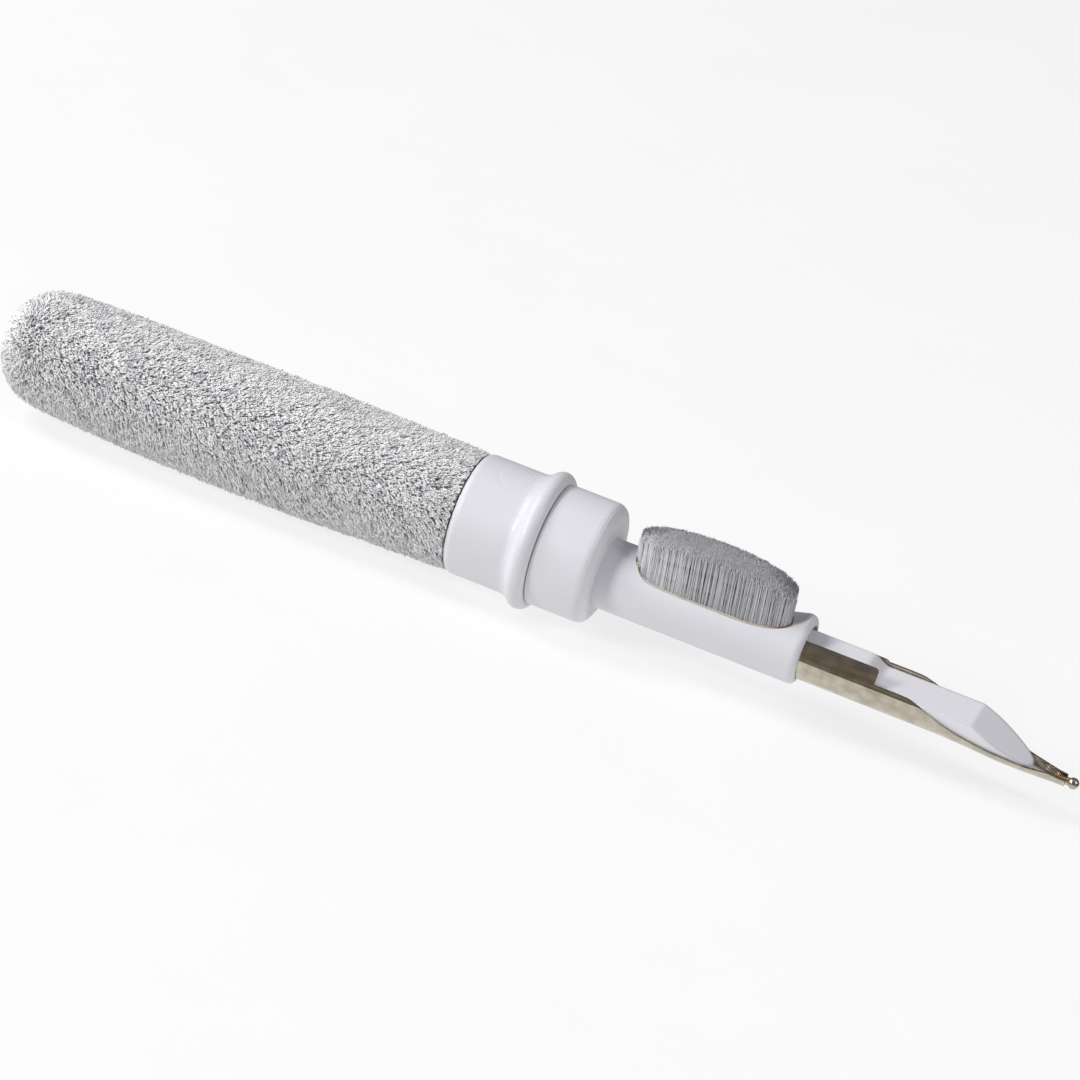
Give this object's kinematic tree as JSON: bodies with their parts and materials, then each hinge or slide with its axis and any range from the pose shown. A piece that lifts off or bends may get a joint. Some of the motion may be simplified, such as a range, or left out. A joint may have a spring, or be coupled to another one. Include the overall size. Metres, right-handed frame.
{
  "type": "lens cleaning pen",
  "caption": "Slim cleaning pen core with a plush sponge stick, a ringed collar, an oval side brush and a slotted metal nib around a plastic scraper.",
  "frame": {"origin": "on the pen's axis, halfway between the rounded end of the sponge sleeve and the ball on the nib", "axes": "+X along the pen from the sponge to the nib, +Z the way the brush points, +Y across the pen"},
  "size_m": [0.122, 0.015, 0.015],
  "materials": {
    "white_abs": "white moulded ABS with a soft satin gloss",
    "scraper_abs": "white moulded ABS, slightly duller than the body",
    "rod_plastic": "natural moulded plastic, hidden inside",
    "tape": "double-sided tape, hidden inside",
    "foam": "soft open-cell foam, hidden inside",
    "pile": "short plush pile, off-white with grey flecks",
    "root_resin": "potting resin round the bristle roots",
    "bristle": "dense grey nylon filaments",
    "glue": "thin amber adhesive line",
    "nib_steel": "polished warm stainless steel with fine drawing lines"
  },
  "bodies": {
    "root": {"collar_sleeve": "white_abs", "front_body": "white_abs", "core_rod": "rod_plastic", "tape_wrap": "tape", "foam_sleeve": "foam", "pile_sleeve": "pile", "brush_block": "root_resin", "bristle_tuft": "bristle", "glue_bead": "glue", "nib_shell": "nib_steel", "nib_scraper": "scraper_abs", "nib_ball": "nib_steel"}
  },
  "joints": []
}
